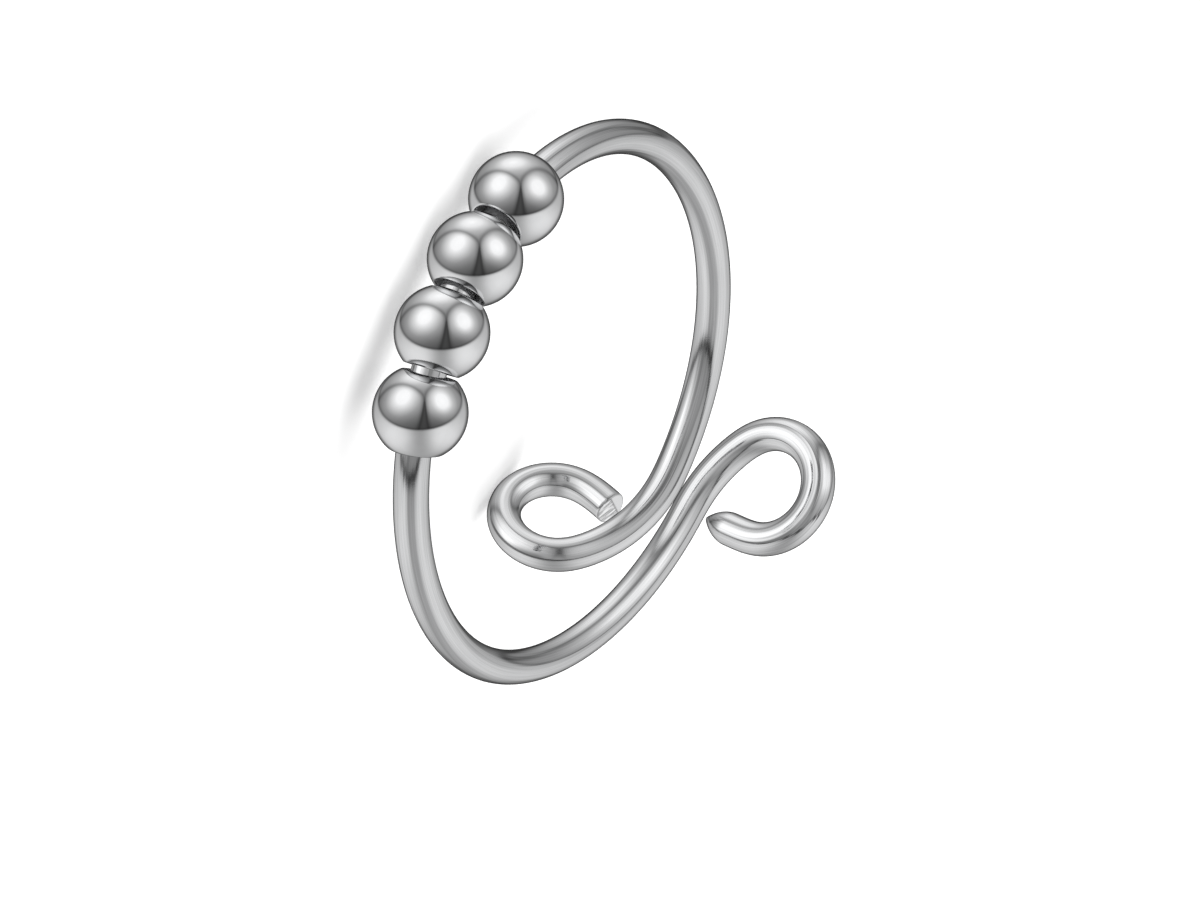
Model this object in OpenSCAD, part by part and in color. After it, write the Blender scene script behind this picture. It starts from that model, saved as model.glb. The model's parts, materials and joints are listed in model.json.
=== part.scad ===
/* [Ring] */
// Diameter of the finger opening, between the insides of the hoop
finger_d = 18; // [16:0.5:21]
// Diameter of the round wire
wire_d = 1.25; // [1.1:0.05:1.4]
// Clear space between the two wires where they pass each other
pass_gap = 0.15; // [0.1:0.05:0.4]
// Turn of the flat hoop on each side of its middle, where the beads run
hoop_turn = 100; // [90:1:110]

/* [Beads] */
// Outside diameter of a bead
bead_d = 3.3; // [3.1:0.05:3.6]
// Diameter of the hole through a bead
bead_bore_d = 1.65; // [1.6:0.05:1.75]
// Diameter of the flat ground round each end of the hole
bead_flat_d = 1.95; // [1.9:0.05:2.1]
// Lean of those flats towards the finger, which lets the beads sit close on the bent wire
bead_flat_lean = 5.5; // [3:0.5:6]
// How far a bead's middle hangs inside the wire's centreline, towards the finger
bead_sink = 0.05; // [0:0.01:0.08]
// Space between two neighbouring beads where they come closest
bead_gap = 0.06; // [0.05:0.01:0.3]
// How far the row of beads has slid round the hoop from its middle
bead_slide = -1.5; // [-20:0.5:20]

/* [Low curl] */
// Turn of the hoop from its flat part to the sweep of the low curl
low_front_turn = 75; // [70:1:80]
// Radius of the sweep that leads into the low loop, to the wire's centreline
low_sweep_r = 5.25; // [4.8:0.05:5.8]
// Turn of that sweep
low_sweep_turn = 53; // [48:1:58]
// How far the wire is rolled over before that sweep
low_sweep_roll = 40; // [35:0.5:44]
// Clear diameter of the low loop's eye
low_eye_d = 2.5; // [2.2:0.05:3]
// Turn of the low loop
low_loop_turn = 239.5; // [230:0.5:245]
// How far the wire is rolled over before the low loop
low_loop_roll = 48; // [44:0.5:53]
// Radius of the low loop's tail, to the wire's centreline
low_tail_r = 5.6; // [4:0.1:8]
// Turn of that tail
low_tail_turn = 13; // [8:0.5:14]
// Lean of the nipped face at the low curl's end
low_nip_lean = 5.5; // [3:0.5:14]
// Slope on each side of the low ridge that runs across that face
low_nip_fold = 7; // [2:0.5:10]
// How far that ridge is turned round the wire
low_nip_turn = 23; // [0:1:180]
// How far that ridge lies off the middle of the wire
low_nip_aside = 0.14; // [0:0.02:0.2]

/* [High curl] */
// Turn of the hoop from its flat part to the sweep of the high curl
high_front_turn = 79; // [74:1:84]
// Radius of the sweep that leads into the high loop, to the wire's centreline
high_sweep_r = 4.95; // [4.5:0.05:5.5]
// Turn of that sweep
high_sweep_turn = 37.5; // [33:0.5:42]
// How far the wire is rolled over before that sweep
high_sweep_roll = 77.5; // [72:0.5:82]
// Clear diameter of the high loop's eye
high_eye_d = 2.7; // [2.4:0.05:3.2]
// Turn of the high loop
high_loop_turn = 233; // [225:1:238]
// How far the wire is rolled over before the high loop
high_loop_roll = 13; // [8:0.5:18]
// Radius of the high loop's tail, to the wire's centreline
high_tail_r = 20; // [15:1:30]
// Turn of that tail
high_tail_turn = 2.2; // [1.5:0.1:3]
// Length of the rounded point at the high curl's end
high_point_len = 1.1; // [0.9:0.05:1.15]
// Width of the point at its very tip
high_point_tip = 0.18; // [0.1:0.01:0.3]

/* [Hidden] */
$fn = 96;
BEADS = 4;

wire_r = wire_d / 2;
bead_r = bead_d / 2;
hoop_r = (finger_d + wire_d) / 2;

// A ball at each change of bend, this much thicker than the wire, closes the seam
seam = 0.006;

// Each wire end steps aside by half of the two wires and the space between them
step = (wire_d + pass_gap) / 2;
step_roll = asin(step / (hoop_r * (1 - cos(180 - hoop_turn))));

// Bends of each half of the wire, from the middle of the hoop to the end of the curl
RADIUS = 0; // column: radius of the bend, to the centreline
TURN = 1;   // column: turn of the bend, in degrees
ROLL = 2;   // column: roll of the wire before the bend, in degrees
low_bends = [
    [hoop_r, hoop_turn, 0],
    [hoop_r, low_front_turn, step_roll],
    [low_sweep_r, low_sweep_turn, low_sweep_roll],
    [(low_eye_d + wire_d) / 2, low_loop_turn, low_loop_roll],
    [low_tail_r, low_tail_turn, 0]
];
high_bends = [
    [hoop_r, hoop_turn, 0],
    [hoop_r, high_front_turn, step_roll],
    [high_sweep_r, high_sweep_turn, high_sweep_roll],
    [(high_eye_d + wire_d) / 2, high_loop_turn, high_loop_roll],
    [high_tail_r, high_tail_turn, 0]
];
TAIL = len(low_bends) - 1; // row of the last bend in each list
LOOP = TAIL - 1;           // row of the loop before it

// Extra turn of the low tail, which the nip takes off again
nip_spare = 5;

// Radius of the point's rounded side, which leaves the wire without a corner
point_slim = wire_r - high_point_tip / 2;
point_side_r = (high_point_len * high_point_len + point_slim * point_slim) / (2 * point_slim);

// A frame is a place on the wire: the point, the way the wire runs, and the way it bends
POINT = 0;
RUN = 1;
BEND = 2;
low_start = [[-hoop_r, 0, 0], [0, 1, 0], [1, 0, 0]];
high_start = [[-hoop_r, 0, 0], [0, -1, 0], [1, 0, 0]];

function unit(v) = v / norm(v);
function rolled(f, a) = [f[POINT], f[RUN], f[BEND] * cos(a) + cross(f[RUN], f[BEND]) * sin(a)];
function carried(f, r, a) =
    let (bend = f[BEND] * cos(a) - f[RUN] * sin(a))
    [f[POINT] + r * (f[BEND] - bend), f[RUN] * cos(a) + f[BEND] * sin(a), bend];
function bend_frame(start, bends, i) =
    rolled(i == 0 ? start : bend_end(start, bends, i - 1), bends[i][ROLL]);
function bend_end(start, bends, i) =
    carried(bend_frame(start, bends, i), bends[i][RADIUS], bends[i][TURN]);

// Beads sit on the flat part of the hoop, the rims of their flats a small gap apart on the finger's side
bead_row_r = hoop_r - bead_sink;
flat_half = sqrt(bead_r * bead_r - bead_flat_d * bead_flat_d / 4);
rim_turn = asin(bead_flat_d / bead_d) + bead_flat_lean;
rim = [bead_row_r - bead_r * sin(rim_turn), bead_r * cos(rim_turn)];
bead_pitch = 2 * (atan(rim[1] / rim[0]) + asin(bead_gap / 2 / norm(rim)));
function bead_angle(i) = 180 + bead_slide + (i - (BEADS + 1) / 2) * bead_pitch;
function bead_center(i) = bead_row_r * [cos(bead_angle(i)), sin(bead_angle(i)), 0];

// The ring lies on the low loop and on its first two beads
low_loop = bend_frame(low_start, low_bends, LOOP);
low_loop_r = low_bends[LOOP][RADIUS];
low_loop_center = low_loop[POINT] + low_loop_r * low_loop[BEND];
low_loop_axis = cross(low_loop[RUN], low_loop[BEND]);
function loop_lowest(up) =
    low_loop_center - low_loop_r * unit(up - (up * low_loop_axis) * low_loop_axis);
function up_for(p) =
    let (
        across = unit(bead_center(2) - bead_center(1)),
        reach = p - bead_center(1),
        level = reach - (reach * across) * across,
        tilt = asin((wire_r - bead_r) / norm(level)),
        side = cross(across, unit(level)),
        face = side[2] > 0 ? side : -side
    )
    sin(tilt) * unit(level) + cos(tilt) * face;
function settled(up, steps) = steps == 0 ? up : settled(up_for(loop_lowest(up)), steps - 1);
up = settled([0, 0, 1], 12);

// Turn that lays the ring down, with the beads towards -Y
lay_y = unit([1, 0, 0] - up[0] * up);
lay_x = cross(lay_y, up);
function laid(p) = [p * lay_x, p * lay_y, p * up];

// Bounds of the laid ring, from points along the wire and from the beads
function bend_points(start, bends, i) =
    let (f = bend_frame(start, bends, i))
    [for (a = [0:0.5:bends[i][TURN]]) laid(carried(f, bends[i][RADIUS], a)[POINT])];
function wire_points(start, bends) =
    [for (i = [0:len(bends) - 1]) each bend_points(start, bends, i)];
points = concat(wire_points(low_start, low_bends), wire_points(high_start, high_bends));
beads_at = [for (i = [1:BEADS]) laid(bead_center(i))];
function low_of(axis) =
    min(min([for (p = points) p[axis]]) - wire_r, min([for (b = beads_at) b[axis]]) - bead_r);
function high_of(axis) =
    max(max([for (p = points) p[axis]]) + wire_r, max([for (b = beads_at) b[axis]]) + bead_r);
origin = [(low_of(0) + high_of(0)) / 2, (low_of(1) + high_of(1)) / 2, low_of(2)];

module lay() {
    multmatrix([
        [lay_x[0], lay_x[1], lay_x[2], -origin[0]],
        [lay_y[0], lay_y[1], lay_y[2], -origin[1]],
        [up[0], up[1], up[2], -origin[2]]
    ]) children();
}

// Local axes on the wire: X away from the bend, Y along the wire
module at_frame(f) {
    x = -f[BEND];
    y = f[RUN];
    z = cross(x, y);
    p = f[POINT];
    multmatrix([
        [x[0], y[0], z[0], p[0]],
        [x[1], y[1], z[1], p[1]],
        [x[2], y[2], z[2], p[2]]
    ]) children();
}

module bent(r, turn) {
    translate([-r, 0, 0]) rotate_extrude(angle = turn) translate([r, 0]) circle(d = wire_d);
}

module bends_from(start, bends, first, last) {
    for (i = [first:last])
        at_frame(bend_frame(start, bends, i)) {
            bent(bends[i][RADIUS], bends[i][TURN]);
            sphere(d = wire_d + seam);
        }
}

// The low curl ends in a nipped face that leans, with a low ridge across it
module low_end() {
    tail = low_bends[TAIL];
    block = 4 * wire_d;
    difference() {
        at_frame(bend_frame(low_start, low_bends, TAIL)) {
            bent(tail[RADIUS], tail[TURN] + nip_spare);
            sphere(d = wire_d + seam);
        }
        at_frame(bend_end(low_start, low_bends, TAIL))
            rotate([0, low_nip_turn, 0]) translate([low_nip_aside, 0, 0])
                for (fold = [-low_nip_fold, low_nip_fold])
                    rotate([0, 0, fold - low_nip_lean]) translate([-block / 2, 0, -block / 2]) cube(block);
    }
}

// The high curl ends in a straight point that narrows like a bullet
module high_end() {
    at_frame(bend_end(high_start, high_bends, TAIL)) {
        sphere(d = wire_d + seam);
        rotate([-90, 0, 0]) rotate_extrude() intersection() {
            translate([wire_r - point_side_r, 0]) circle(r = point_side_r);
            square([wire_r, high_point_len]);
        }
    }
}

module wire() {
    color("silver") lay() {
        bends_from(low_start, low_bends, 0, LOOP);
        low_end();
        bends_from(high_start, high_bends, 0, TAIL);
        high_end();
    }
}

module bead(i) {
    color("gainsboro") lay() translate(bead_center(i)) rotate([0, 0, bead_angle(i)])
        rotate([90, 0, 0]) difference() {
            sphere(d = bead_d);
            cylinder(d = bead_bore_d, h = 2 * bead_d, center = true);
            for (side = [0, 1])
                mirror([0, 0, side]) rotate([0, -bead_flat_lean, 0])
                    translate([0, 0, flat_half]) cylinder(d = bead_d, h = bead_d);
        }
}

wire();
bead(1);  // bead_1
bead(2);  // bead_2
bead(3);  // bead_3
bead(4);  // bead_4
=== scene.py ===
"""Spinner ring: a polished steel wire hoop with two curls at its ends and four round beads on it.

The wire follows the same chain of bends as the CAD part, and each bead sits where its CAD solid is.
Lengths of the ring are in millimetres until a mesh is made, and angles are in degrees.
"""

import json
import math

import bmesh
import bpy
import numpy as np
from mathutils import Matrix, Vector


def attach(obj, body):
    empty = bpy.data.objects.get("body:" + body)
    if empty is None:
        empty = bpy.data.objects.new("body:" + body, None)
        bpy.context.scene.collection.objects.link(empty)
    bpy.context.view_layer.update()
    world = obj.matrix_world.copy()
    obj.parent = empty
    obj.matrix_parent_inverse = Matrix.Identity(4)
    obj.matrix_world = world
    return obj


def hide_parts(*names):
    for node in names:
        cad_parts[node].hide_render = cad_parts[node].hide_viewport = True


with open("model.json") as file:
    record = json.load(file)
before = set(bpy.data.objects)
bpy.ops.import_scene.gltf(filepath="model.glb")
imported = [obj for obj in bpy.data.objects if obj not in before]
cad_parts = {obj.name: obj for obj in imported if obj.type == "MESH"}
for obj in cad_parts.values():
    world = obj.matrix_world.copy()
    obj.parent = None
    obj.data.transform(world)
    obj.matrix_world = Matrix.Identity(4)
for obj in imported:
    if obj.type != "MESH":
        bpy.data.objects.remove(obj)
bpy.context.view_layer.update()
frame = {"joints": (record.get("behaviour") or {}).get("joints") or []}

MM = 0.001  # metres in a millimetre

# Ring, as in the CAD part
FINGER_D = 18.0
WIRE_D = 1.25
PASS_GAP = 0.15  # between the two wires where they pass each other
WIRE_R = WIRE_D / 2
HOOP_R = (FINGER_D + WIRE_D) / 2
HOOP_TURN = 100.0  # flat part of the hoop on each side of its middle

# Beads, as in the CAD part
BEADS = 4
BEAD_D = 3.3
BEAD_BORE_D = 1.65
BEAD_FLAT_D = 1.95
BEAD_FLAT_LEAN = 5.5  # towards the finger
BEAD_SINK = 0.05  # how far a bead's middle hangs inside the wire's centreline
BEAD_GAP = 0.06  # between two beads where they come closest
BEAD_SLIDE = -1.5  # how far the row has slid round the hoop from its middle
BEAD_R = BEAD_D / 2
BEAD_ROW_R = HOOP_R - BEAD_SINK
FLAT_HALF = math.sqrt(BEAD_R**2 - BEAD_FLAT_D**2 / 4)  # from a bead's middle to its flat

# The spot of a flat's rim nearest the finger sets how close two beads sit
RIM_TURN = math.asin(BEAD_FLAT_D / BEAD_D) + math.radians(BEAD_FLAT_LEAN)
RIM_OUT = BEAD_ROW_R - BEAD_R * math.sin(RIM_TURN)  # from the hoop's axis
RIM_ALONG = BEAD_R * math.cos(RIM_TURN)  # from the bead's middle, along its hole
GAP_TURN = math.asin(BEAD_GAP / 2 / math.hypot(RIM_OUT, RIM_ALONG))
BEAD_PITCH = 2 * math.degrees(math.atan(RIM_ALONG / RIM_OUT) + GAP_TURN)

# Curls, as in the CAD part: each row is one bend of the wire
RADIUS, TURN, ROLL = 0, 1, 2  # columns: centreline radius, turn, roll before the bend
STEP = (WIRE_D + PASS_GAP) / 2  # how far each end steps aside
STEP_ROLL = math.degrees(math.asin(STEP / (HOOP_R * (1 - math.cos(math.radians(180 - HOOP_TURN))))))
LOW_EYE_D = 2.5
LOW_BENDS = [
    (HOOP_R, HOOP_TURN, 0.0),
    (HOOP_R, 75.0, STEP_ROLL),
    (5.25, 53.0, 40.0),
    ((LOW_EYE_D + WIRE_D) / 2, 239.5, 48.0),
    (5.6, 13.0, 0.0),
]
HIGH_EYE_D = 2.7
HIGH_BENDS = [
    (HOOP_R, HOOP_TURN, 0.0),
    (HOOP_R, 79.0, STEP_ROLL),
    (4.95, 37.5, 77.5),
    ((HIGH_EYE_D + WIRE_D) / 2, 233.0, 13.0),
    (20.0, 2.2, 0.0),
]

# The low end is nipped off: its face leans, and a low fold runs across it
NIP_RIDGE_TURN = 67.0  # from straight out of the bend towards the side
NIP_RIDGE_ASIDE = 0.14  # how far the fold misses the wire's centreline
NIP_LEAN = 5.5  # slope of the whole face
NIP_FOLD = 7.0  # further slope on each side of the fold
NIP_FOLD_ROUND = 0.02  # rounding of the fold
NIP_EASE = 0.5  # length of wire over which the mesh follows the slanted face
NIP_ROUND = 0.03  # rounding of the face's rim
NIP_RIM = 0.07  # how wide that rounding is, as a share of the face's radius
NIP_RIM_RINGS = (0.985, 0.96, 0.93)  # rings of corners on it, as shares of the same radius
NIP_FACE_RINGS = (0.88, 0.04, 22)  # the outermost and the innermost ring inside it, and how many in all
NIP_LINES = 7  # shear lines across the face
NIP_LINE_DEEP = 0.006
NIP_LINE_FADE = 0.1  # how far off the fold the lines are at their full depth

# The high end narrows like a bullet
POINT_LENGTH = 1.1
POINT_TIP_D = 0.18
POINT_CAP = 0.02  # how far the middle of the tip stands out
POINT_STEPS = 24

# Mesh
STATION = 0.15  # spacing of the wire's rings along its centreline
FINE_STATION = STATION / 3  # spacing of the points that the centreline is drawn through at first
LEAST_STEPS = 4  # in one bend
SOFTEN = 0.45  # how far each change of bend is eased
BLUR_REACH = 3  # how far the easing looks, in widths
AROUND = 64  # corners of the wire's section
BEAD_AROUND = 128  # corners round a bead's hole
BALL_STEPS = 40
BORE_STEPS = 6
BEAD_LIP = 0.025  # width of the rounded edge between a bead's outside and its hole
RIM_DROP = 0.25  # drop of the flat's outer rim, in lips
LIP_CUT = 0.3  # the rounded edge passes this far out from the hole's wall and below the flat, in lips
LIP_DEPTH = 1.5  # how far below the flat the straight hole starts, in lips

# What the materials read: millimetres across the wire, two ways, and along it, or from a bead's middle
FACE_MARK = -0.1  # the third one on the nipped face, below any place along the wire
BEADS_APART = 10.0  # sets the marks of each bead apart from those of the next one

# Marks on the metal, each as the noise's steps per millimetre in the three directions, and its detail
DIE_LINES = (3.0, 3.0, 0.04), 2.0
# The hair lines are real polishing marks, and their streaks in the wire's grey are also painted reflection
# streaks
HAIR_LINES_AND_PAINTED_REFLECTIONS = (16.0, 16.0, 0.3), 2.0
SMUDGES = (0.5, 0.5, 0.3), 2.0
GRAIN = (28.0, 28.0, 28.0), 1.0
WIRE_SCRATCHES = (34.0, 34.0, 1.4), 1.0
TEARS = (9.0, 1.2, 1.0), 2.0
BEAD_HAZE = (1.3, 1.3, 1.3), 3.0
BEAD_MARKS = (1.1, 7.0, 7.0), 2.0
BEAD_SCRATCHES = (2.0, 30.0, 30.0), 1.0
DRILL_RINGS = (1.0, 1.0, 22.0), 1.0

# Where such a noise starts to be a mark, and where it is a full one
WIRE_SCRATCH_RANGE = (0.72, 0.78)
TEAR_RANGE = (0.36, 0.62)
BEAD_SCRATCH_RANGE = (0.74, 0.8)

STEEL_TINT = (0.995, 1.0, 1.01)  # both steels' red, green and blue, as shares of their grey
NOISE_MIDDLE = 0.5

# Wire's steel
WIRE_GREYS = (0.60, 0.70)
WIRE_ROUGHNESSES = (0.05, 0.10)
# Grey of the hair-line streaks, which are also painted reflection streaks along the wire
HAIR_LINE_AND_PAINTED_REFLECTION_GREY = 0.25
WIRE_SCRATCH_DARK = 0.06
WIRE_SCRATCH_ROUGH = 0.08
WIRE_MARK_DEPTH = 0.001
DIE_LINE_SHARE = 36.0  # the shares are in mark depths
HAIR_LINE_SHARE = 3.0
GRAIN_SHARE = 0.5

# Sheared steel of the nipped face, with tears on one side of the fold and a smooth other side
SHEARED_FROM, SHEARED_FULL = 0.3, 0.9  # shares of the way to the face mark
SHEARED_GREYS = (0.5, 1.0)
SHEARED_SMOOTH_GREY = 0.85
SHEARED_ROUGHNESSES = (0.12, 0.28)  # smooth side, torn side
TEAR_SHARE = 12.0
FOLD_BLUR = 0.03  # half the width over which the two sides meet
# Painted shade: a dark line along the fold, and a darker rim round the face
PAINTED_FOLD_SHADE_WIDTH = 0.04
PAINTED_FOLD_SHADE = 0.45
PAINTED_RIM_SHADE_RANGE = (0.86, 0.98)  # where the painted shade at the rim starts, and where it is full, in wire radii
PAINTED_RIM_SHADE = 0.4  # as a share of the fold's painted shade

# Beads' steel
BEAD_GREYS = (0.68, 0.80)
BEAD_ROUGHNESSES = (0.02, 0.045)
BEAD_SCRATCH_ROUGH = 0.04
BEAD_MARK_DEPTH = 0.0003
# The hole's pale grey is painted light: it lifts the dark in the gaps between the beads
HOLE_PAINTED_LIGHT_GREYS = (0.8, 0.9)
HOLE_ROUGHNESS = 0.9
DRILL_RING_SHARE = 8.0

# Camera at the photo's angle to the ring, with the photo's roll. Its lens and sensor are in millimetres
AIM = Vector((0.95, 0.73, 5.60)) * MM
CAMERA_AZIMUTH = 9.53
CAMERA_ELEVATION = 17.51
CAMERA_ROLL = 114.2
CAMERA_DISTANCE = 239.8 * MM
CAMERA_REACH = (0.01, 10.0)  # nearest and farthest, in metres
LENS = 204.2
SENSOR_WIDTH = 36.0

# Floor
FLOOR_HALF = 2.0  # metres
FLOOR_COLOUR = (0.85, 0.85, 0.85)
FLOOR_ROUGHNESS = 0.9
FLOOR_GLOW = 0.4

# Studio: directions are (picture's right, picture's up, back to the camera)
LEFT_BOX_AT = (-0.60, 0.54, 0.54)
RIGHT_BOX_AT = (0.79, 0.40, 0.47)
TOP_BOX_AT = (-0.08, 0.96, -0.13)
TABLE_AT = (0, -1, 0)

# Brightness as a picture shows it, in rows of (degrees off the middle, brightness)
LEFT_BOX = [(0, 1.0), (15, 0.98), (30, 0.80), (45, 0.61), (60, 0.50), (80, 0.40)]
RIGHT_BOX = [(0, 1.0), (15, 0.97), (30, 0.74), (45, 0.59), (60, 0.53), (80, 0.46)]
TOP_BOX = [(0, 1.0), (15, 0.92), (30, 0.72), (45, 0.59), (60, 0.50), (75, 0.31), (140, 0.26)]
TABLE = [(0, 0.98), (30, 0.96), (60, 0.87), (85, 0.73), (110, 0.66)]

# The boxes are cut off straight. A cut is the direction of the side that is kept, and its offset
LEFT_TOP_CUT = (-0.709, -0.367, 0.602), 0.13
LEFT_GAP_CUT = (-0.969, 0.187, 0.164), 0.07
RIGHT_TOP_CUT = (0.927, -0.119, 0.355), 0.38
RIGHT_GAP_CUT = (0.985, 0.138, -0.101), 0.19
HORIZON_CUT = (0.0, 0.831, 0.556), -0.145
BOX_CORNER = 0.2
BOX_EDGE = 0.045

# Darker parts: how wide and how dark
SEAM_WIDTH, SEAM_DARK = 0.09, 0.2
HORIZON_WIDTH, HORIZON_DARK = 0.06, 0.22
TABLE_SHADE_WIDTH, TABLE_SHADE_DARK = 0.5, 0.36
BEHIND_ANGLE, BEHIND_DARK = 46.0, 0.5

# The two boxes in front dim towards the picture's foot
LOW_DIM_LEFT, LOW_DIM_RIGHT = 0.22, 0.45
LOW_DIM_RANGE = (-0.3, 0.8)  # where that starts, and where it is full

# From a picture's brightness to light, for steel of this grey
DISPLAY_GAMMA = 2.2
STEEL_GREY = 0.75
BACKDROP = 0.92  # light that the camera sees in place of the studio

# Fill: what the dome adds to the wire's surroundings, in rows of (direction, width in degrees, strength)
FILLS = [
    ((0.0, -0.35, 0.94), 32, 0.30),
    ((-0.93, 0.10, 0.36), 22, 0.80),
    ((0.75, -0.30, 0.55), 30, 0.30),
]
FILL_EDGE = (0.03, 0.11)  # where it starts above the horizon, and where it is full
FILL_LINE = (-0.37, 0.16, 0.5)  # a dark line down through it: how far to the picture's right, width, dark
FILL_LINE_RANGE = (0.1, -0.2)  # where the line starts from above, and where it is full
FILL_DISTANCE = 1.5  # metres
FILL_SUBDIVISIONS = 3

# Soft light
SOFT_LIGHT_STRENGTH = 1.6
SOFT_LIGHT_SPREAD = 75.0
SOFT_LIGHT_FROM = (0.1, 0.1, 1.0)


def unit(vectors):
    """The same vectors with a length of 1."""
    return vectors / np.linalg.norm(vectors, axis=-1, keepdims=True)


# The ring's own axes: X to the crossing of the wires, Z along the hoop's axis
hinge = frame["joints"][0]
CENTER = np.array(hinge["pos_m"]) / MM
AXIS_Z = unit(np.array(hinge["axis"]))
AXIS_X = unit(np.cross(AXIS_Z, [1.0, 0.0, 0.0]))
AXIS_Y = np.cross(AXIS_Z, AXIS_X)
RING_AXES = np.stack([AXIS_X, AXIS_Y, AXIS_Z])


class Place:
    """A place on the wire: the point, the way the wire runs there and the way it bends."""

    def __init__(self, point, run, bend):
        self.point = np.array(point, float)
        self.run = np.array(run, float)
        self.bend = np.array(bend, float)

    def rolled(self, angle):
        """The same place with the wire rolled about its own line."""
        side = np.cross(self.run, self.bend)
        return Place(self.point, self.run, self.bend * math.cos(angle) + side * math.sin(angle))

    def carried(self, radius, angle):
        """The place at the end of a bend that starts here."""
        bend = self.bend * math.cos(angle) - self.run * math.sin(angle)
        run = self.run * math.cos(angle) + self.bend * math.sin(angle)
        return Place(self.point + radius * (self.bend - bend), run, bend)


def half_of_wire(start, bends):
    """Points along one half of the wire, from the hoop's middle to the curl's end, and the place there."""
    place = start
    points = [place.point]
    for row in bends:
        radius, turn = row[RADIUS], math.radians(row[TURN])
        place = place.rolled(math.radians(row[ROLL]))
        steps = max(LEAST_STEPS, round(radius * turn / FINE_STATION))
        points += [place.carried(radius, turn * i / steps).point for i in range(1, steps + 1)]
        place = place.carried(radius, turn)
    return points, place


def lengths_along(points):
    """How far along the line each of its points is."""
    steps = np.linalg.norm(np.diff(points, axis=0), axis=1)
    return np.concatenate([[0], np.cumsum(steps)])


def evenly_spaced(points, spacing):
    """The same line with its points at even spacing."""
    points = np.array(points)
    along = lengths_along(points)
    wanted = np.linspace(0, along[-1], round(along[-1] / spacing) + 1)
    return np.stack([np.interp(wanted, along, points[:, axis]) for axis in range(3)], axis=1)


def blurred(points, width, spacing):
    """A line's points averaged with their neighbours, with its ends kept."""
    reach = math.ceil(BLUR_REACH * width / spacing)
    weights = np.exp(-0.5 * (np.arange(-reach, reach + 1) * spacing / width) ** 2)
    weights /= weights.sum()
    before = 2 * points[0] - points[reach:0:-1]
    after = 2 * points[-1] - points[-2 : -reach - 2 : -1]
    padded = np.concatenate([before, points, after])
    return np.stack([np.convolve(padded[:, axis], weights, "valid") for axis in range(3)], axis=1)


def eased(points, width, spacing):
    """A blurred line, with what the blur takes off round the curls put back."""
    once = blurred(points, width, spacing)
    return 2 * once - blurred(once, width, spacing)


def sides_along(runs):
    """Two directions across the wire at each of its points, turned as little as can be between them."""
    first = np.cross(runs[0], [0.0, 0.0, 1.0])
    sides = [unit(first)]
    for run in runs[1:]:
        side = sides[-1] - run * (sides[-1] @ run)
        sides.append(unit(side))
    sides = np.array(sides)
    return sides, np.cross(runs, sides)


def placed(name, data):
    """A new object with this mesh, camera or light, in the scene."""
    made = bpy.data.objects.new(name, data)
    bpy.context.scene.collection.objects.link(made)
    return made


def mesh_object(name, corners, faces, coordinates, material):
    """A smooth mesh. coordinates are kept with its corners, for the material to use."""
    mesh = bpy.data.meshes.new(name)
    mesh.from_pydata([tuple(c) for c in corners * MM], [], faces)
    attribute = mesh.attributes.new("maker_coordinates", "FLOAT_VECTOR", "POINT")
    attribute.data.foreach_set("vector", np.asarray(coordinates, np.float32).ravel())
    mesh.polygons.foreach_set("use_smooth", [True] * len(mesh.polygons))
    mesh.materials.append(material)
    mesh.validate()
    return placed(name, mesh)


def ring_faces(rings, around, closed=False):
    """Quads between neighbouring rings of corners."""
    faces = []
    for i in range(rings if closed else rings - 1):
        here, there = i * around, (i + 1) % rings * around
        for j in range(around):
            k = (j + 1) % around
            faces.append((here + j, here + k, there + k, there + j))
    return faces


def end_faces(rings, around):
    """Triangles from the first and from the last ring to the two corners that follow the rings."""
    count = rings * around
    last = count - around
    faces = [((j + 1) % around, j, count) for j in range(around)]
    faces += [(last + j, last + (j + 1) % around, count + 1) for j in range(around)]
    return faces


def wire_line():
    """The wire's centreline from its low to its high end, eased, and the place at its low end before that."""
    middle = (-HOOP_R, 0, 0)
    low, low_end = half_of_wire(Place(middle, (0, 1, 0), (1, 0, 0)), LOW_BENDS)
    high = half_of_wire(Place(middle, (0, -1, 0), (1, 0, 0)), HIGH_BENDS)[0]
    line = evenly_spaced(low[::-1] + high[1:], STATION)
    return eased(line, SOFTEN, STATION), low_end


def with_point(line, runs, along):
    """The line with the high end's point, which runs straight on, and the wire's radius at each place."""
    share = np.sin(np.linspace(0, math.pi / 2, POINT_STEPS + 1)[1:])
    line = np.concatenate([line, line[-1] + share[:, None] * POINT_LENGTH * runs[-1]])
    runs = np.concatenate([runs, np.repeat(runs[-1:], POINT_STEPS, axis=0)])
    along = np.concatenate([along, along[-1] + share * POINT_LENGTH])
    slim = WIRE_R - (WIRE_R - POINT_TIP_D / 2) * share**2
    radii = np.concatenate([np.full(len(line) - POINT_STEPS, WIRE_R), slim])
    return line, runs, along, radii


def wire_rings(line, runs, along, radii):
    """Rings of corners round the wire, and where the same corners are on a straightened wire."""
    first, second = sides_along(runs)
    angle = np.linspace(0, 2 * math.pi, AROUND, endpoint=False)
    out = np.cos(angle)[None, :, None] * first[:, None] + np.sin(angle)[None, :, None] * second[:, None]
    corners = line[:, None] + radii[:, None, None] * out
    straight = np.stack(
        [
            radii[:, None] * np.cos(angle),
            radii[:, None] * np.sin(angle),
            np.repeat(along[:, None], AROUND, axis=1),
        ],
        axis=2,
    )
    return corners, straight


def nip_spot(across, side):
    """A spot on the wire's section, as how far it lies along the nipped face's fold and how far off it."""
    turn = math.radians(NIP_RIDGE_TURN)
    along = across * math.cos(turn) + side * math.sin(turn)
    return along, side * math.cos(turn) - across * math.sin(turn) + NIP_RIDGE_ASIDE


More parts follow.
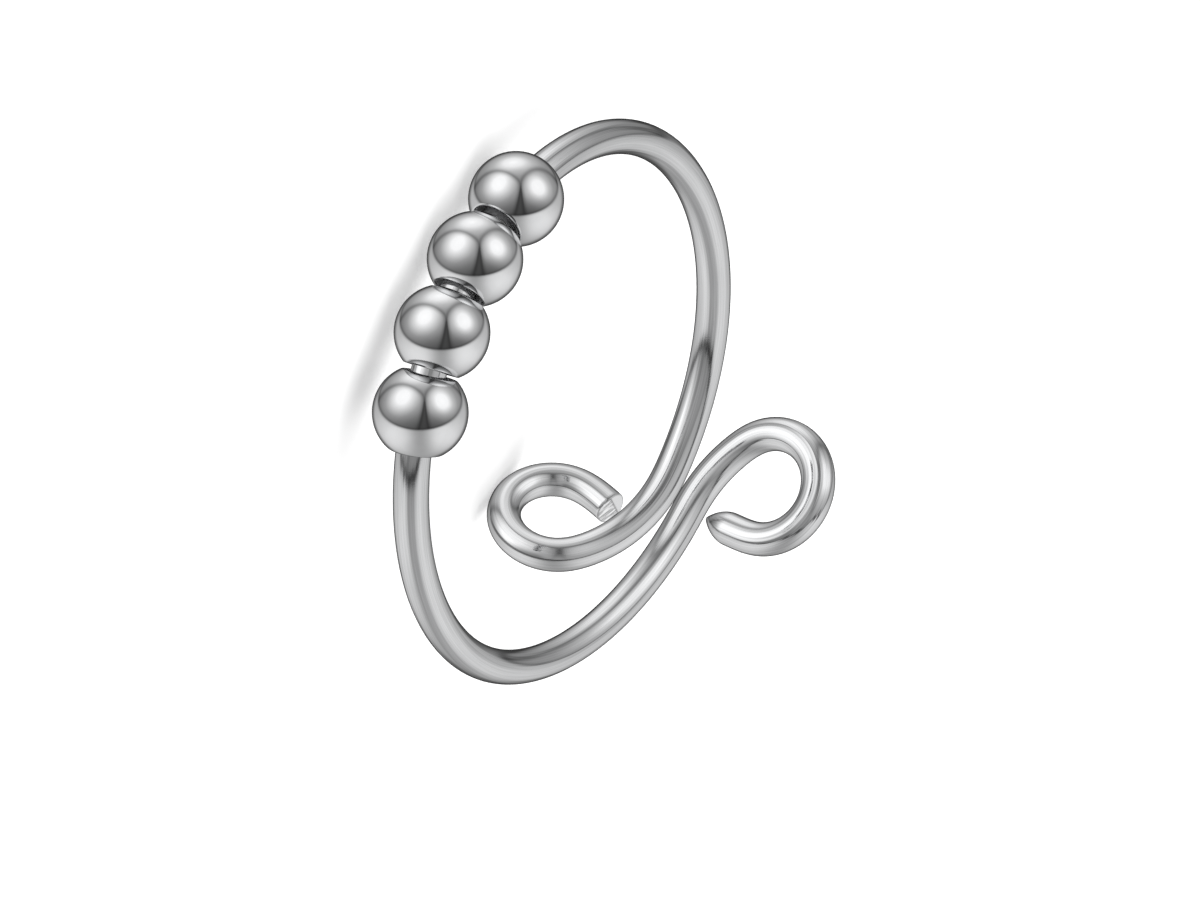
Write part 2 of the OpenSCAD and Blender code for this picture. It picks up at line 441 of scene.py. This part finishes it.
def nip_height(across, side):
    """How far the nipped face stands past the wire's end, over a spot on its section."""
    off = nip_spot(across, side)[1]
    fold = np.sqrt(off**2 + NIP_FOLD_ROUND**2) - NIP_FOLD_ROUND
    return math.tan(math.radians(NIP_LEAN)) * off - math.tan(math.radians(NIP_FOLD)) * fold


def section_axes(end):
    """The two directions across the wire at its low end, out of the bend and to the side."""
    across = -end.bend
    return across, np.cross(across, end.run)


def leaning(corners, along, end):
    """The wire's rings, with those near the low end leaning until the first one lies on the nipped face."""
    across, side = section_axes(end)
    share = np.clip(1 - along / NIP_EASE, 0, 1)
    offset = corners - end.point
    height = nip_height(offset @ across, offset @ side)
    return corners + (share[:, None] * height)[:, :, None] * end.run


def nipped_face(outline, end):
    """Rings from the middle of the nipped face to its rounded rim, and what the material reads there."""
    across, side = section_axes(end)
    flat = outline - end.point
    flat_across, flat_side = flat @ across, flat @ side
    rings = []
    marks = []
    for share in [*NIP_RIM_RINGS, *np.linspace(*NIP_FACE_RINGS)]:
        spot = share * flat_across, share * flat_side
        lift = nip_height(*spot) + NIP_ROUND * min(1.0, (1 - share) / NIP_RIM) ** 0.5
        fold_along, fold_off = nip_spot(*spot)

        # The shear lines are on one side of the fold and stop at the rounded rim
        lines = np.sin(NIP_LINES * math.pi * fold_along / WIRE_R)
        deep = np.clip(fold_off / NIP_LINE_FADE, 0, 1) * (share < 1 - NIP_RIM)
        lift = lift + NIP_LINE_DEEP * lines * deep
        level = end.point + spot[0][:, None] * across + spot[1][:, None] * side
        rings.append(level + lift[:, None] * end.run)
        marks.append(np.stack([fold_along, fold_off, np.full(AROUND, FACE_MARK)], axis=1))
    return np.array(rings)[::-1], np.array(marks)[::-1]


def wire_piece(material):
    """The wire as one mesh, from the nipped face at its low end to the point at its high end."""
    line, low_end = wire_line()
    line, runs, along, radii = with_point(line, unit(np.gradient(line, axis=0)), lengths_along(line))
    corners, straight = wire_rings(line, runs, along, radii)
    corners = leaning(corners, along, low_end)
    face, face_marks = nipped_face(corners[0], low_end)

    rings = np.concatenate([face, corners])
    marks = np.concatenate([face_marks, straight])
    middles = np.array([rings[0].mean(axis=0), line[-1] + POINT_CAP * runs[-1]])
    middle_marks = [[0, 0, FACE_MARK], [0, 0, along[-1]]]
    piece = mesh_object(
        "polished_wire",
        np.concatenate([rings.reshape(-1, 3), middles]) @ RING_AXES + CENTER,
        ring_faces(len(rings), AROUND) + end_faces(len(rings), AROUND),
        np.concatenate([marks.reshape(-1, 3), middle_marks]),
        material,
    )
    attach(piece, "wire")
    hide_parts("wire")

    # Mirror images of the wire in the metal hardly show in the photo, so it isn't mirrored
    piece.visible_glossy = False
    return piece


def bead_corners():
    """Rings of corners round a bead. Its axes are: away from the finger, the hoop's axis, the hole."""
    turn = np.linspace(0, 2 * math.pi, BEAD_AROUND, endpoint=False)
    outward = np.cos(turn)
    lean = math.radians(BEAD_FLAT_LEAN)
    sine, cosine = math.sin(lean), math.cos(lean)
    bore = np.full(BEAD_AROUND, BEAD_BORE_D / 2)

    def flat_height(distance):
        return (FLAT_HALF + distance * outward * sine) / cosine

    def ball_height(distance):
        return np.sqrt(BEAD_R**2 - distance**2)

    # The rim is where the ball meets the leaning flat, or the hole where the flat doesn't reach that far out
    slope = outward * sine / cosine
    steep = 1 + slope**2
    start = FLAT_HALF / cosine
    root = np.sqrt(slope**2 * start**2 + steep * (BEAD_R**2 - start**2))
    rim = np.maximum((root - slope * start) / steep, bore + 2 * BEAD_LIP)
    polar = np.arcsin(rim / BEAD_R) + BEAD_LIP / BEAD_R
    edge = np.minimum(flat_height(bore), ball_height(bore + BEAD_LIP))

    # Half a bead: from its widest ring over the ball to the flat, then over the lip and down the hole
    rings = []
    for share in np.linspace(0, 1, BALL_STEPS + 1):
        angle = math.pi / 2 + (polar - math.pi / 2) * share
        rings.append((BEAD_R * np.sin(angle), BEAD_R * np.cos(angle)))
    for distance, drop in ((rim, RIM_DROP), (rim - BEAD_LIP, 0.0)):
        rings.append((distance, np.minimum(flat_height(distance), ball_height(distance)) - drop * BEAD_LIP))
    rings.append((bore + LIP_CUT * BEAD_LIP, edge - LIP_CUT * BEAD_LIP))
    for share in np.linspace(0, 1, BORE_STEPS + 1):
        rings.append((bore, (edge - LIP_DEPTH * BEAD_LIP) * (1 - share)))

    # The other half is a mirror image of this one
    rings += [(distance, -height) for distance, height in rings[-2:0:-1]]
    return np.array([np.stack([d * outward, d * np.sin(turn), h], axis=1) for d, h in rings])


def bead_piece(number, material):
    """A bead in its place in the row."""
    rings = bead_corners()
    local = rings.reshape(-1, 3)
    place = math.radians(180 + BEAD_SLIDE + (number - (BEADS + 1) / 2) * BEAD_PITCH)
    out = AXIS_X * math.cos(place) + AXIS_Y * math.sin(place)
    bead_axes = np.stack([out, AXIS_Z, np.cross(out, AXIS_Z)])
    piece = mesh_object(
        f"polished_bead_{number}",
        local @ bead_axes + CENTER + BEAD_ROW_R * out,
        ring_faces(len(rings), BEAD_AROUND, closed=True),
        local + [0, 0, BEADS_APART * number],
        material,
    )
    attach(piece, f"bead_{number}")
    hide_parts(f"bead_{number}")
    return piece


class Sums:
    """Short ways to add math nodes to a node tree. Most return the socket that holds the result."""

    def __init__(self, tree):
        self.tree = tree

    def node(self, kind, **settings):
        """A new node with these settings."""
        made = self.tree.nodes.new(kind)
        for name, value in settings.items():
            setattr(made, name, value)
        return made

    def feed(self, socket, value):
        """Links the value to the socket, or sets the socket to it where it is a plain one."""
        if isinstance(value, bpy.types.NodeSocket):
            self.tree.links.new(value, socket)
        else:
            socket.default_value = value

    def math(self, operation, *values):
        """A math node's result."""
        made = self.node("ShaderNodeMath", operation=operation)
        for socket, value in zip(made.inputs, values):
            self.feed(socket, value)
        return made.outputs[0]

    def dot(self, vector, axis):
        """The vector's part along a fixed axis."""
        made = self.node("ShaderNodeVectorMath", operation="DOT_PRODUCT")
        self.feed(made.inputs[0], vector)
        self.feed(made.inputs[1], tuple(axis))
        return made.outputs["Value"]

    def length(self, a, b):
        """The length of the vector (a, b)."""
        squares = self.math("ADD", self.math("POWER", a, 2.0), self.math("POWER", b, 2.0))
        return self.math("SQRT", squares)

    def angle_off(self, direction, axis):
        """The angle between two directions, in radians."""
        return self.math("ARCCOSINE", self.dot(direction, axis))

    def step(self, value, low, high):
        """0 below low, 1 above high, and a smooth step between."""
        made = self.node("ShaderNodeMapRange", interpolation_type="SMOOTHSTEP")
        for name, given in zip(("Value", "From Min", "From Max"), (value, low, high)):
            self.feed(made.inputs[name], given)
        return made.outputs["Result"]

    def ramp(self, value, stops):
        """A value read off a list of (place, value) stops, with places and values from 0 to 1."""
        made = self.node("ShaderNodeValToRGB")
        elements = made.color_ramp.elements
        while len(elements) < len(stops):
            elements.new(0.5)
        for element, (place, height) in zip(elements, stops):
            element.position = place
            element.color = (height, height, height, 1)
        self.feed(made.inputs["Fac"], value)

        # Times 1, so that the ramp's colour becomes one number
        return self.math("MULTIPLY", made.outputs["Color"], 1.0)

    def mix(self, share, a, b):
        """a where share is 0 and b where it is 1."""
        made = self.node("ShaderNodeMix", data_type="FLOAT")
        self.feed(made.inputs["Factor"], share)
        self.feed(made.inputs["A"], a)
        self.feed(made.inputs["B"], b)
        return made.outputs["Result"]

    def darkened(self, value, where, amount):
        """The value, less this share of it where the mask is 1."""
        return self.math("MULTIPLY", value, self.mix(where, 1.0, 1.0 - amount))

    def noise(self, vector, per_mm, detail):
        """Soft noise from 0 to 1, with its steps per millimetre in each direction."""
        scaled = self.node("ShaderNodeVectorMath", operation="MULTIPLY")
        self.feed(scaled.inputs[0], vector)
        self.feed(scaled.inputs[1], per_mm)
        made = self.node("ShaderNodeTexNoise")
        made.inputs["Scale"].default_value = 1.0
        made.inputs["Detail"].default_value = detail
        self.feed(made.inputs["Vector"], scaled.outputs["Vector"])
        return made.outputs["Fac"]

    def bell(self, value, width):
        """1 where value is 0, falling off on both sides."""
        scaled = self.math("DIVIDE", value, width)
        return self.math("POWER", math.e, self.math("MULTIPLY", self.math("POWER", scaled, 2.0), -1.0))


class Steel:
    """A polished steel whose nodes can be added to."""

    def __init__(self, name):
        self.material = bpy.data.materials.new(name)
        self.material.use_nodes = True
        self.sums = Sums(self.material.node_tree)
        self.shader = self.material.node_tree.nodes["Principled BSDF"]
        self.shader.inputs["Metallic"].default_value = 1.0
        attribute = self.sums.node("ShaderNodeAttribute", attribute_name="maker_coordinates")
        self.spot = attribute.outputs["Vector"]

    def parts_of_spot(self):
        """The three numbers of the spot, each on its own."""
        apart = self.sums.node("ShaderNodeSeparateXYZ")
        self.sums.feed(apart.inputs[0], self.spot)
        return apart.outputs

    def finish(self, grey, roughness, height, depth):
        """The material, with its grey tinted and its height as a bump."""
        sums = self.sums
        colour = sums.node("ShaderNodeCombineColor")
        for channel, tint in zip(colour.inputs, STEEL_TINT):
            sums.feed(channel, sums.math("MULTIPLY", grey, tint))
        sums.feed(self.shader.inputs["Base Color"], colour.outputs[0])
        sums.feed(self.shader.inputs["Roughness"], roughness)
        bump = sums.node("ShaderNodeBump")
        bump.inputs["Strength"].default_value = 1.0
        bump.inputs["Distance"].default_value = depth * MM
        sums.feed(bump.inputs["Height"], height)
        sums.feed(self.shader.inputs["Normal"], bump.outputs["Normal"])
        return self.material


def sheared_face(steel):
    """The nipped face's own steel: where it is, and its grey with painted shade along the fold and the rim,
    its roughness and its height there.
    """
    sums = steel.sums
    fold_along, fold_off, depth = steel.parts_of_spot()
    sheared = sums.step(depth, SHEARED_FROM * FACE_MARK, SHEARED_FULL * FACE_MARK)
    torn = sums.step(fold_off, -FOLD_BLUR, FOLD_BLUR)
    tears = sums.step(sums.noise(steel.spot, *TEARS), *TEAR_RANGE)
    grey = sums.mix(torn, SHEARED_SMOOTH_GREY, sums.mix(tears, *SHEARED_GREYS))

    # Painted shade: the fold and the rim are darker
    from_middle = sums.length(fold_along, sums.math("SUBTRACT", fold_off, NIP_RIDGE_ASIDE))
    rim = sums.step(from_middle, *[share * WIRE_R for share in PAINTED_RIM_SHADE_RANGE])
    rim = sums.math("MULTIPLY", rim, PAINTED_RIM_SHADE)
    dark = sums.math("MAXIMUM", sums.bell(fold_off, PAINTED_FOLD_SHADE_WIDTH), rim)
    grey = sums.darkened(grey, dark, PAINTED_FOLD_SHADE)
    rough = sums.mix(torn, *SHEARED_ROUGHNESSES)
    height = sums.math("MULTIPLY", sums.math("MULTIPLY", tears, torn), TEAR_SHARE)
    return sheared, grey, rough, height


def wire_steel():
    """Drawn and polished wire: long fine die lines, hair lines whose grey streaks are also painted reflection
    streaks, soft smudges, and a dull sheared face at the low end with painted shade along its fold and rim.
    """
    steel = Steel("wire_steel")
    sums = steel.sums
    die_lines = sums.noise(steel.spot, *DIE_LINES)
    hair_lines_and_painted_reflections = sums.noise(steel.spot, *HAIR_LINES_AND_PAINTED_REFLECTIONS)
    smudges = sums.noise(steel.spot, *SMUDGES)
    grain = sums.noise(steel.spot, *GRAIN)
    scratches = sums.step(sums.noise(steel.spot, *WIRE_SCRATCHES), *WIRE_SCRATCH_RANGE)

    grey = sums.mix(smudges, *WIRE_GREYS)
    # Streaks in the grey along the wire: real hair lines, and painted reflection streaks as well
    hair_line_and_painted_reflection_streaks = sums.math("MULTIPLY", sums.math("SUBTRACT", hair_lines_and_painted_reflections, NOISE_MIDDLE), HAIR_LINE_AND_PAINTED_REFLECTION_GREY)
    grey = sums.math("ADD", grey, hair_line_and_painted_reflection_streaks)
    grey = sums.math("SUBTRACT", grey, sums.math("MULTIPLY", scratches, WIRE_SCRATCH_DARK))
    rough = sums.mix(smudges, *WIRE_ROUGHNESSES)
    rough = sums.math("ADD", rough, sums.math("MULTIPLY", scratches, WIRE_SCRATCH_ROUGH))
    height = sums.math("MULTIPLY", die_lines, DIE_LINE_SHARE)
    height = sums.math("ADD", height, sums.math("MULTIPLY", hair_lines_and_painted_reflections, HAIR_LINE_SHARE))
    height = sums.math("ADD", height, sums.math("MULTIPLY", grain, GRAIN_SHARE))

    sheared, face_grey, face_rough, face_height = sheared_face(steel)
    grey = sums.mix(sheared, grey, face_grey)
    rough = sums.mix(sheared, rough, face_rough)
    height = sums.mix(sheared, height, face_height)
    return steel.finish(grey, rough, height, WIRE_MARK_DEPTH)


def bead_steel():
    """Mirror polished beads with the faintest polishing marks, and a dull drilled hole in a pale non-metal
    grey, which is painted light in the gaps between the beads.
    """
    steel = Steel("bead_steel")
    sums = steel.sums
    haze = sums.noise(steel.spot, *BEAD_HAZE)
    marks = sums.noise(steel.spot, *BEAD_MARKS)
    scratches = sums.step(sums.noise(steel.spot, *BEAD_SCRATCHES), *BEAD_SCRATCH_RANGE)

    grey = sums.mix(haze, *BEAD_GREYS)
    rough = sums.mix(haze, *BEAD_ROUGHNESSES)
    rough = sums.math("ADD", rough, sums.math("MULTIPLY", scratches, BEAD_SCRATCH_ROUGH))

    # The hole keeps the drill's rings, on a pale non-metal grey that is painted light, lifting the dark in
    # the gaps between the beads
    x, y, _ = steel.parts_of_spot()
    drilled = sums.step(sums.length(x, y), BEAD_BORE_D / 2 + BEAD_LIP, BEAD_BORE_D / 2)
    rings = sums.noise(steel.spot, *DRILL_RINGS)
    grey = sums.mix(drilled, grey, sums.mix(rings, *HOLE_PAINTED_LIGHT_GREYS))
    rough = sums.mix(drilled, rough, HOLE_ROUGHNESS)
    sums.feed(steel.shader.inputs["Metallic"], sums.mix(drilled, 1.0, 0.0))
    height = sums.mix(drilled, marks, sums.math("MULTIPLY", rings, DRILL_RING_SHARE))
    return steel.finish(grey, rough, height, BEAD_MARK_DEPTH)


def camera_axes():
    """The picture's right, its up, and the way back to the camera."""
    azimuth, elevation = math.radians(CAMERA_AZIMUTH), math.radians(CAMERA_ELEVATION)
    level_back = math.cos(elevation)
    back = Vector((math.sin(azimuth) * level_back, -math.cos(azimuth) * level_back, math.sin(elevation)))
    level = Vector((math.cos(azimuth), math.sin(azimuth), 0))
    roll = math.radians(CAMERA_ROLL)
    right = level * math.cos(roll) + back.cross(level) * math.sin(roll)
    return right, back.cross(right), back


def toward(axis):
    """The direction of (picture's right, picture's up, back to the camera)."""
    right, up, back = camera_axes()
    return (right * axis[0] + up * axis[1] + back * axis[2]).normalized()


def past(sums, direction, cut):
    """How far a direction lies on the side of a cut that is kept."""
    axis, offset = cut
    return sums.math("SUBTRACT", sums.dot(direction, toward(axis)), offset)


def camera():
    """The photo's view of the ring."""
    data = bpy.data.cameras.new("camera")
    data.lens = LENS
    data.sensor_width = SENSOR_WIDTH
    data.clip_start, data.clip_end = CAMERA_REACH
    obj = placed("camera", data)
    right, up, back = camera_axes()
    turn = Matrix((right, up, back)).transposed()
    obj.matrix_world = Matrix.Translation(AIM + back * CAMERA_DISTANCE) @ turn.to_4x4()
    bpy.context.scene.camera = obj


def floor():
    """A pale floor with a slight glow, which the metal doesn't mirror."""
    mesh = bpy.data.meshes.new("floor")
    corners = [(x * FLOOR_HALF, y * FLOOR_HALF, 0) for x, y in ((-1, -1), (1, -1), (1, 1), (-1, 1))]
    mesh.from_pydata(corners, [], [(0, 1, 2, 3)])
    material = bpy.data.materials.new("floor")
    material.use_nodes = True
    shader = material.node_tree.nodes["Principled BSDF"]
    shader.inputs["Base Color"].default_value = (*FLOOR_COLOUR, 1)
    shader.inputs["Roughness"].default_value = FLOOR_ROUGHNESS
    shader.inputs["Specular IOR Level"].default_value = 0.0
    shader.inputs["Emission Color"].default_value = (1, 1, 1, 1)
    shader.inputs["Emission Strength"].default_value = FLOOR_GLOW
    mesh.materials.append(material)
    obj = placed("floor", mesh)
    obj.visible_glossy = False


def studio():
    """Two soft boxes, a third overhead and a pale table, as the photo's beads mirror them."""
    world = bpy.data.worlds.new("studio")
    bpy.context.scene.world = world
    world.use_nodes = True
    tree = world.node_tree
    sums = Sums(tree)
    right, _, back = camera_axes()
    direction = sums.node("ShaderNodeTexCoord").outputs["Generated"]

    def falloff(axis, stops):
        """Brightness by how far a direction is off the axis."""
        share = sums.math("DIVIDE", sums.angle_off(direction, toward(axis)), math.pi)
        return sums.ramp(share, [(degrees / 180, bright) for degrees, bright in stops])

    # The overhead box falls off all the way round, and the two in front lie over it
    bright = falloff(TOP_BOX_AT, TOP_BOX)
    seams = []
    for top_cut, gap_cut, axis, stops, dim in (
        (LEFT_TOP_CUT, LEFT_GAP_CUT, LEFT_BOX_AT, LEFT_BOX, LOW_DIM_LEFT),
        (RIGHT_TOP_CUT, RIGHT_GAP_CUT, RIGHT_BOX_AT, RIGHT_BOX, LOW_DIM_RIGHT),
    ):
        past_cuts = past(sums, direction, top_cut), past(sums, direction, gap_cut)
        inside = sums.math("SMOOTH_MIN", *past_cuts, BOX_CORNER)
        low = sums.step(sums.dot(direction, -toward((0, 1, 0))), *LOW_DIM_RANGE)
        box = sums.darkened(falloff(axis, stops), low, dim)
        bright = sums.mix(sums.step(inside, -BOX_EDGE, BOX_EDGE), bright, box)
        seams.append(sums.bell(inside, SEAM_WIDTH))
    bright = sums.darkened(bright, sums.math("MAXIMUM", *seams), SEAM_DARK)

    # The table is all that lies below the horizon. Straight behind the ring everything is darker
    shade = sums.bell(sums.dot(direction, right), TABLE_SHADE_WIDTH)
    table = sums.darkened(falloff(TABLE_AT, TABLE), shade, TABLE_SHADE_DARK)
    above = past(sums, direction, HORIZON_CUT)
    bright = sums.mix(sums.step(above, -BOX_EDGE, BOX_EDGE), table, bright)
    bright = sums.darkened(bright, sums.bell(above, HORIZON_WIDTH), HORIZON_DARK)
    behind = sums.step(sums.dot(direction, -back), math.cos(math.radians(BEHIND_ANGLE)), 1.0)
    bright = sums.darkened(bright, behind, BEHIND_DARK)
    light = sums.math("DIVIDE", sums.math("POWER", bright, DISPLAY_GAMMA), STEEL_GREY)

    # The camera sees a plain pale backdrop instead
    seen = sums.node("ShaderNodeLightPath").outputs["Is Camera Ray"]
    background = tree.nodes["Background"]
    sums.feed(background.inputs["Strength"], sums.mix(seen, light, BACKDROP))
    background.inputs["Color"].default_value = (1, 1, 1, 1)


def fill_glow():
    """A see-through material that glows by direction, with a dark line down through the glow."""
    material = bpy.data.materials.new("wire_fill")
    material.use_nodes = True
    material.cycles.emission_sampling = "NONE"
    tree = material.node_tree
    tree.nodes.remove(tree.nodes["Principled BSDF"])
    sums = Sums(tree)
    normal = sums.node("ShaderNodeVectorMath", operation="NORMALIZE")
    sums.feed(normal.inputs[0], sums.node("ShaderNodeTexCoord").outputs["Object"])
    direction = normal.outputs["Vector"]
    right, up, _ = camera_axes()

    glow = 0.0
    for axis, width, strength in FILLS:
        bell = sums.bell(sums.angle_off(direction, toward(axis)), math.radians(width))
        glow = sums.math("ADD", glow, sums.math("MULTIPLY", bell, strength))
    glow = sums.math("MULTIPLY", glow, sums.step(past(sums, direction, HORIZON_CUT), *FILL_EDGE))
    aside, width, dark = FILL_LINE
    line = sums.bell(sums.math("SUBTRACT", sums.dot(direction, right), aside), width)
    line = sums.math("MULTIPLY", line, sums.step(sums.dot(direction, up), *FILL_LINE_RANGE))
    glow = sums.darkened(glow, line, dark)

    emission = sums.node("ShaderNodeEmission")
    sums.feed(emission.inputs["Strength"], glow)
    added = sums.node("ShaderNodeAddShader")
    sums.feed(added.inputs[0], emission.outputs[0])
    sums.feed(added.inputs[1], sums.node("ShaderNodeBsdfTransparent").outputs[0])
    sums.feed(tree.nodes["Material Output"].inputs["Surface"], added.outputs[0])
    return material


def wire_fill(wire):
    """A dome that only the wire mirrors. It lifts the dark between the soft boxes, as the photo shows."""
    mesh = bpy.data.meshes.new("wire_fill")
    shape = bmesh.new()
    bmesh.ops.create_icosphere(shape, subdivisions=FILL_SUBDIVISIONS, radius=FILL_DISTANCE)
    shape.to_mesh(mesh)
    shape.free()
    mesh.materials.append(fill_glow())
    dome = placed("wire_fill", mesh)
    dome.visible_camera = False
    dome.visible_diffuse = False
    dome.visible_transmission = False
    dome.visible_volume_scatter = False
    dome.visible_shadow = False
    only_wire = bpy.data.collections.new("wire_fill_receiver")
    only_wire.objects.link(wire)
    dome.light_linking.receiver_collection = only_wire


def soft_light():
    """A broad light overhead that lights the floor and draws the ring's soft shadow there."""
    data = bpy.data.lights.new("soft_light", "SUN")
    data.energy = SOFT_LIGHT_STRENGTH
    data.angle = math.radians(SOFT_LIGHT_SPREAD)
    obj = placed("soft_light", data)
    obj.rotation_mode = "QUATERNION"
    obj.rotation_quaternion = Vector(SOFT_LIGHT_FROM).to_track_quat("Z", "Y")
    obj.visible_glossy = False


camera()
floor()
studio()
soft_light()
wire_fill(wire_piece(wire_steel()))
polished = bead_steel()
for number in range(1, BEADS + 1):
    bead_piece(number, polished)

scene = bpy.context.scene
scene.view_settings.view_transform = "Standard"
